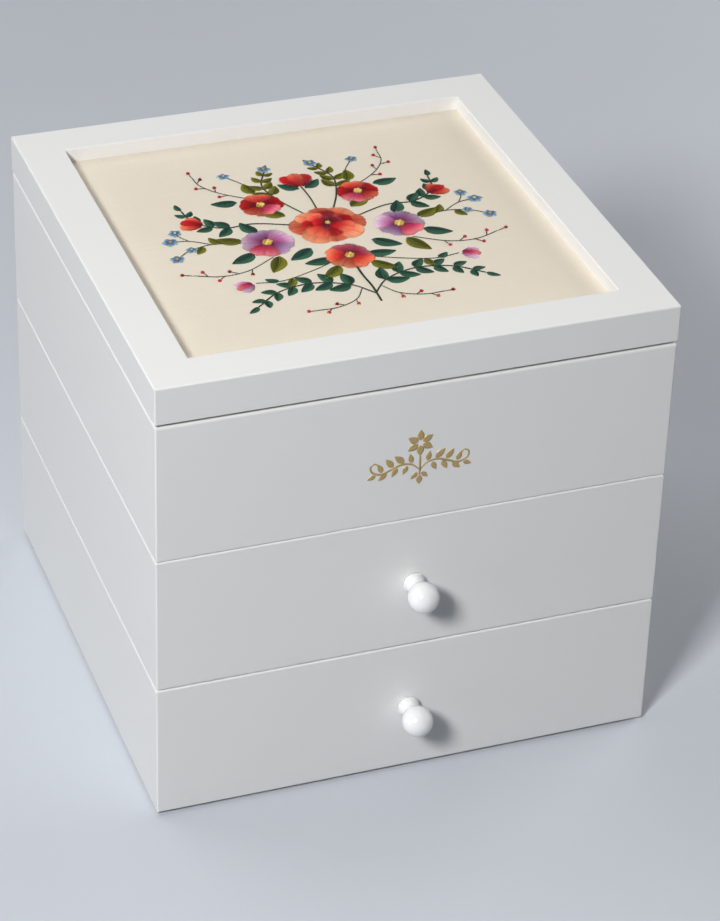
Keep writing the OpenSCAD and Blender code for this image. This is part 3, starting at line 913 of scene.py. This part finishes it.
def petal(x, y, turn, long, wide, colours, side, lift, notch=0.0, tone=1.0):
    # threads fan from the root to a rounded rim, each one a bent line cut in two at an uneven
    # place; u runs across the petal, t from root to rim
    count = max(5, round(2 * wide / stitch["pitch"]))
    u = np.linspace(-0.985, 0.985, count)[:, None]
    rim = long * (0.58 + 0.42 * np.sqrt(1 - u**2)) - notch * long * np.exp(-((u / 0.24) ** 2))
    rim = rim + 0.25 * chance.normal(size=rim.shape)
    vein = 1 - 0.22 * np.exp(-((u / 0.10) ** 2)) - 0.35 * np.abs(u) ** 6
    cut = chance.uniform(0.46, 0.66, count)
    for start, end, above in ((0.05, cut, 0.08), (cut - 0.13, 1.0, 0.0)):
        t = along(count, start, end)
        across = wide * u * (0.12 * (1 - t) ** 2 + 1.66 * t * (1 - t) + t**2)
        onward = 0.05 * long * (1 - t) ** 2 + 1.06 * rim * t * (1 - t) + rim * t**2
        domed = 0.35 * (1 - u**2) * np.sin(np.pi * t)
        shade = shadeOf(colours, np.clip(1.15 * t**1.4 + 0.14 * u, 0, 1))
        shade = shade * (tone * vein * (1 - 0.14 * u))[..., None]
        petals.sew(placed(across, onward, x, y, turn, side), lift + above + domed, shade)


def flower(x, y, size, count, names, side, turn, lift, width, notch=0.0, heart=None):
    # petals in a ring, the odd ones laid over the even ones, and knots in the middle
    for i in sorted(range(count), key=lambda k: k % 2):
        angle = turn + 360 * i / count
        px = x + 0.10 * size * cos(radians(angle))
        py = y + 0.10 * size * sin(radians(angle))
        long = size * (1 + 0.06 * chance.normal())
        tone = (0.72, 1.12)[i % 2] * chance.uniform(0.92, 1.08)
        colours, over = skeins[names[i % len(names)]], lift + 0.22 * (i % 2)
        angle = angle + 3 * chance.normal()
        petal(px, py, angle, 0.90 * long, width * long, colours, side, over, notch, tone)
    if heart:
        ring = [(0.13 * size * cos(a), 0.13 * size * sin(a)) for a in np.arange(6) * pi / 3]
        for dx, dy in [(0, 0)] + ring:
            knot(x + dx, y + dy, 0.075 * size, heart, side, lift + 0.5)


def leaf(x, y, turn, long, wide, name, side, bend=0.12):
    # satin stitches slant from a bent midrib to the edge, one half in a lighter shade; a line of
    # long stitches lies along the midrib; v is a stitch's place along the leaf
    count = max(6, round(long / stitch["leafPitch"]))
    dark, middle, light = skeins[name]
    v = (np.arange(count) + 0.5) / count
    reach = v + 0.18 * (1 - v)
    spread = wide * np.sin(np.pi * reach**0.86) ** 0.85 + 0.15
    for half, inner, outer in ((-1, dark, middle), (1, middle, light)):
        t = along(count, 0.0, 1.0)
        onward = v[:, None] + (reach - v)[:, None] * t
        across = half * spread[:, None] * t + bend * long * np.sin(np.pi * onward) * 0.5
        shade = shadeOf([inner, outer, outer], t) * (0.92 + 0.16 * v[:, None, None])
        leaves.sew(placed(across, onward * long, x, y, turn, side), 0, shade)
    t = along(2, np.array([0.0, 0.42]), np.array([0.5, 0.93]))
    rib = placed(bend * long * np.sin(np.pi * t) * 0.5, t * long, x, y, turn, side)
    leaves.sew(rib, 0.22, 1.25 * light, 0.6)


def smoothLine(points):
    # even steps along a curve through the points, each span a cubic whose ends slope as their
    # neighbours lie; and the curve's length
    p = np.asarray(points, float)
    p = np.concatenate([2 * p[:1] - p[1:2], p, 2 * p[-1:] - p[-2:-1]])
    t = np.linspace(0, 1, 24, endpoint=False)[:, None]
    spans = []
    for a, b, c, d in zip(p, p[1:], p[2:], p[3:]):
        square, cube = 2 * a - 5 * b + 4 * c - d, 3 * b - a - 3 * c + d
        spans.append(0.5 * (2 * b + (c - a) * t + square * t**2 + cube * t**3))
    line = np.concatenate(spans + [p[-2:-1]])
    run = np.concatenate([[0], np.cumsum(np.linalg.norm(np.diff(line, axis=0), axis=1))])
    even = np.arange(0, run[-1], stitch["lineStep"])
    return np.stack([np.interp(even, run, line[:, i]) for i in range(2)], -1), run[-1]


def besideLine(line):
    # the direction to the left at each point of a line
    slope = np.gradient(line, axis=0)
    return unit(np.stack([-slope[:, 1], slope[:, 0]], -1))


def stem(points, side, rows=1):
    # stem stitch: each stitch starts beside the middle of the last one; hands back the line
    line, total = smoothLine(points)
    last = total - stitch["lineStep"]
    if total < stemStitch["single"]:
        starts, ends = np.array([0.0]), np.array([last])
    else:
        starts = np.arange(0, total - stemStitch["least"], stemStitch["apart"])
        ends = np.minimum(starts + stemStitch["long"], last)
    for row in range(rows):
        run = along(len(starts), starts, ends)
        index = np.clip(run / stitch["lineStep"], 0, len(line) - 1)
        shift = stemStitch["slant"] * (rings - 0.5) + stemStitch["row"] * (row - (rows - 1) / 2)
        (x, y), (offX, offY) = (
            [np.interp(index, np.arange(len(line)), v) for v in curve.T]
            for curve in (line, besideLine(line))
        )
        flat = np.stack([side * (x + shift * offX), y + shift * offY], -1)
        shade = shadeOf(skeins["twig"], chance.uniform(0, 1, (len(starts), 1)))
        stems.sew(flat, 0, shade, stemStitch["thickness"])
    return line


def knot(x, y, radius, name, side, lift):
    # kept for later: every knot is the same wound lump at another place and size
    tone = shadeOf(skeins[name], chance.uniform(0.2, 1)) * (1 + stitch["uneven"] * chance.normal())
    knots.append((side * x, y, radius, lift, chance.uniform(0, 6.28), *tone))


def tinyFlower(x, y, size, name, side, turn):
    for i in range(5):
        petal(x, y, turn + 72 * i, size, 0.42 * size, skeins[name], side, 0.05 * (i % 2))
    knot(x, y, 0.26 * size, "yellow", side, 0.3)


def sprig(points, side, name, long, pairs, start=0.2):
    # a stem with pairs of leaves that get smaller towards its end, and one at the tip
    line = stem(points, side, 2)
    for i, f in enumerate(np.linspace(start, 0.90, pairs)):
        at = int(f * (len(line) - 1))
        (x, y), (dx, dy) = line[at], line[min(at + 2, len(line) - 1)] - line[max(at - 2, 0)]
        heading = degrees(atan2(dy, dx))
        size = long * (1 - 0.42 * i / (pairs - 1))
        for hand in (-1, 1):
            leaf(x, y, heading + hand * 46, size, 0.27 * size, name, side, -0.12 * hand)
    (x, y), (dx, dy) = line[-1], line[-1] - line[-4]
    leaf(x, y, degrees(atan2(dy, dx)), 0.62 * long, 0.135 * long, name, side)


def berries(points, side, spread, count):
    # a thin twig with berries on short stalks, left and right in turn, and one at its end
    line = stem(points, side)
    for i, f in enumerate(np.linspace(0.35, 1.0, count)):
        at = int(f * (len(line) - 1))
        dx, dy = line[at] - line[max(at - 3, 0)]
        heading = atan2(dy, dx) + (0 if i == count - 1 else (0.85 if i % 2 else -0.85))
        ahead = np.array([cos(heading), sin(heading)])
        end = line[at] + spread * ahead
        stem([line[at], (line[at] + end) / 2, end], side)
        knot(*end, 1.25, "berry", side, 0.15)
        knot(*(end + 1.1 * ahead), 0.55, "yellow", side, 0.1)


def tulip(x, y, turn, size, names, side=1):
    # two outer petals that lean apart and one over them in the middle
    for lean, name, lift in ((26, names[1], 0), (-26, names[1], 0.05), (0, names[0], 0.4)):
        petal(x, y, turn + lean, size, 0.30 * size, skeins[name], side, lift)


def halfBouquet(side):
    # the places are those on the right; side -1 mirrors them
    sprig([(0, -82), (12, -68), (33, -60), (56, -64), (74, -78)], side, "teal", 15, 6)
    sprig([(9, 24), (19, 46), (24, 68), (16, 88)], side, "olive", 12.5, 4, 0.50)
    sprig([(18, 12), (44, 22), (64, 22), (80, 34), (84, 52)], side, "teal", 13.5, 4, 0.52)
    berries([(46, -22), (66, -34), (84, -36), (101, -30)], side, 6.5, 5)
    berries([(34, 52), (52, 66), (62, 80), (64, 93)], side, 6.0, 5)
    berries([(6, -74), (14, -86), (28, -92), (42, -92)], side, 5.0, 4)
    stem([(60, 0), (78, 4), (94, 0), (104, -8)], side)
    stem([(78, 4), (90, 12), (102, 14)], side)
    leaf(72, 3, 60, 11, 3.0, "olive", side)
    leaf(84, 3, -55, 10, 2.7, "olive", side)
    for x, y, size in (
        (104, -8, 4.6), (102, 14, 5.0), (92, 1, 3.6), (96, 24, 4.2), (16, 90, 4.4), (44, 88, 4.0),
    ):
        tinyFlower(x, y, size, "blue", side, 12 * x)
    stem([(90, 12), (94, 18), (96, 24)], side)
    stem([(31, 58), (35, 74), (44, 88)], side)
    stem([(12, -38), (30, -46), (50, -52), (67, -50)], side)
    for x, y, turn, long, wide, name in (
        (43, -51, -62, 11, 2.9, "olive"), (52, -52, 32, 9, 2.4, "teal"),
        (42, -22, -62, 21, 5.2, "olive"), (56, -14, -28, 19, 4.8, "teal"),
        (58, 2, 24, 18, 4.6, "olive"), (46, 10, 66, 17, 4.4, "teal"),
        (20, -18, -34, 20, 5.0, "teal"), (22, 26, 42, 20, 5.0, "olive"),
        (10, -44, -42, 19, 4.6, "olive"), (12, -34, -6, 18, 4.4, "teal"),
        (46, 52, 8, 17, 4.4, "teal"), (32, 60, 78, 15, 4.0, "olive"),
        (2, 58, 38, 15, 3.8, "teal"),
    ):
        leaf(x, y, turn, long, wide, name, side)
    names = ("lilac", "mauve", "lilac", "rose", "mauve")
    flower(44, -4, 17, 5, names, side, 80, 0.1, 0.60, 0.10, "yellow")
    names = ("red", "coral", "red", "rose", "coral")
    flower(33, 44, 14.5, 5, names, side, 20, 0.1, 0.60, 0.08, "yellow")
    tulip(76, 28, 35, 15, ("red", "coral"), side)
    tulip(68, -50, -20, 12.5, ("rose", "mauve"), side)


def bouquet():
    # stalks on the middle line, the two halves, and the flowers that lie over both
    stem([(0, -92), (0.6, -74), (-0.4, -58), (0, -40)], 1, 3)
    stem([(0, 28), (0.8, 46), (0, 62)], 1, 2)
    halfBouquet(1)
    halfBouquet(-1)
    names = ("rose", "coral", "peach", "coral", "rose")
    flower(0, -34, 15.5, 5, names, 1, 90, 0.1, 0.60, 0.10, "yellow")
    tulip(0, 60, 90, 19, ("coral", "red"))
    flower(0, 8, 25, 8, ("coral", "peach"), 1, 90, 0.15, 0.42)
    flower(0, 8, 17, 7, ("red", "coral"), 1, 70, 0.65, 0.44)
    flower(0, 8, 9.5, 5, ("berry", "red"), 1, 90, 1.1, 0.52, 0, "yellow")


def flossFinish():
    # dyed floss: the attribute's colour, a twist of six strands, and a silky sheen
    look = {"Sheen_Weight": 0.03, "Sheen_Roughness": 0.3, "Specular_IOR_Level": 0.14}
    finish = Finish("cottonFloss", **look)
    dye = finish.node("ShaderNodeAttribute", {"attribute_name": "floss"})
    ply, run = finish.parts(finish.node("ShaderNodeUVMap", {"uv_map": "ply"}))[:2]
    twist = (2 * pi * (2 * ply + 1.1 * run)).math("SINE")
    # painted shade: the floss colour is darker in the grooves between the twisted strands
    twistGrooveShade = finish.mix(1.0, dye, (0.72, 0.70, 0.70), "MULTIPLY")
    finish.feed("Base Color", finish.mix(0.75 + 0.25 * twist, twistGrooveShade, dye))
    finish.feed("Roughness", 0.42 + 0.08 * twist)
    finish.feed("Normal", finish.bump(twist, 0.00003))
    return finish.material


def frenchKnots(name, material):
    # one lump, a low ball whose surface winds round it, set down at every knot's place
    angle = np.linspace(0, 2 * np.pi, 8, endpoint=False)
    height = np.linspace(-0.35, 1.35, 5)[:, None]
    wound = 1 + 0.13 * np.cos(2 * angle + 4.2 * height)
    ring = wound * np.cos(height - 0.1)
    up = 0.85 * np.sin(height) * wound
    lump = np.stack([ring * np.cos(angle), ring * np.sin(angle), up], -1)
    lump, faces = closedShape(lump, [[0, 0, -0.35], [0, 0, 0.80]])
    x, y, radius, lift, spin, *tone = np.array(knots).T[..., None]
    c, s = np.cos(spin), np.sin(spin)
    px = x + radius * (c * lump[:, 0] - s * lump[:, 1])
    py = y + radius * (s * lump[:, 0] + c * lump[:, 1])
    pz = clothHeight(x, y) + lift + radius * lump[:, 2]
    points = np.stack([px, py, pz], -1) + [*clothMiddle[:2], clothTop]
    faces = repeated(faces, len(lump), len(x))
    piece = solidPiece(name, points.reshape(-1, 3) * mm, faces, material)
    colour = np.repeat(np.clip(np.concatenate(tone, 1), 0, 1), len(lump), 0)
    return dyed(piece, colour, np.zeros((sum(group.size for group in faces), 2)))


bouquet()
flossMaterial = flossFinish()
threads = {"petals": petals, "leaves": leaves, "stems": stems}
needlework = [work.make("embroidered_" + name, flossMaterial) for name, work in threads.items()]
needlework.append(frenchKnots("embroidered_knots", flossMaterial))
counts = {name: sum(len(path) for path in work.paths) for name, work in threads.items()}
print("stitches:", counts, "knots:", len(knots))

# gold ornament on the front

ornament = {
    "middle": (0.5, 236.0),  # x and z on the front, in mm
    "proud": 0.10,
    "sunk": 0.04,  # how deep its back lies in the board
    "step": 0.03,  # how much further out every second part lies
}


def foilLeaf(x, z, turn, long, wide):
    # a pointed leaf: half width wide * sin(pi * v ** 0.8), v from root to tip
    rows, columns = 15, 5
    v, u = np.meshgrid(np.linspace(0, 1, rows), np.linspace(-1, 1, columns), indexing="ij")
    spread = wide * (np.sin(np.pi * v**0.8) + 0.03)
    flat = placed(u * spread, v * long, x, z, turn, 1)
    return flat.reshape(-1, 2), [gridFaces(rows, columns)]


def foilLine(points, wide):
    # a ribbon along a smooth curve, thin at both ends
    line = smoothLine(points)[0]
    run = np.linspace(0, 1, len(line))
    half = wide * (0.35 + 0.65 * np.sin(np.pi * run) ** 0.6)
    edge = -half[:, None] * besideLine(line)
    flat = line[:, None] + np.linspace(-1, 1, 3)[None, :, None] * edge[:, None]
    return flat.reshape(-1, 2), [gridFaces(len(line), 3)]


def frontOrnament():
    # a six-petalled blossom over a pair of leafy scrolls
    parts = [foilLine([(0, -14), (0.2, -8), (0, 2)], 0.75)]
    for a in np.radians(np.arange(30, 390, 60)):
        root = (1.7 * cos(a), 10 + 1.7 * sin(a))
        parts.append(foilLeaf(*root, degrees(a), 7.6, 2.3))
    parts.append(foilLeaf(0, -13, -90, 6.5, 1.9))
    parts.append(foilLeaf(1.2, -11, -42, 6.0, 1.5))
    parts.append(foilLeaf(-1.2, -11, -138, 6.0, 1.5))
    scroll = [(0, -9), (5, -4.5), (12, -3.5), (19, -6), (25, -8), (30.5, -5.5), (31.5, -1.5)]
    scroll += [(28.5, 0.2), (26.6, -2.2)]
    sprays = (
        (5, -3.6, 78, 7.0), (10, -2.4, 42, 8.5), (14.5, -5.2, -62, 7.0), (17, -4.2, 52, 8.0),
        (21, -7.9, -40, 7.0), (24, -6.8, 66, 7.0), (28, -8.4, -22, 6.0), (8, -4.9, -66, 6.5),
    )
    for side in (1, -1):
        parts.append(foilLine([(side * x, z) for x, z in scroll], 0.72))
        for x, z, turn, long in sprays:
            turn = turn if side > 0 else 180 - turn
            parts.append(foilLeaf(side * x, z, turn, long, 0.25 * long))
    flat, groups = joined(parts)
    faces = np.concatenate(groups)
    x, z = (flat + ornament["middle"]).T
    layer = np.concatenate([np.full(len(part[0]), i % 2) for i, part in enumerate(parts)])
    y = frontFace + ornament["sunk"] - ornament["step"] * layer
    points = np.stack([x, y, z], -1)
    # every part is wound the same way round, facing the front
    a, b, c = (points[faces[:, i]] for i in range(3))
    turnedAway = np.cross(b - a, c - a)[:, 1] > 0
    faces[turnedAway] = faces[turnedAway][:, ::-1]
    piece = solidPiece("front_ornament", points * mm, [faces], goldFoil())
    wall = piece.modifiers.new("thickness", "SOLIDIFY")
    wall.thickness = (ornament["proud"] + ornament["sunk"]) * mm
    wall.offset = 1
    declared(piece, "case")


frontOrnament()
print("ornament is laid on the front")
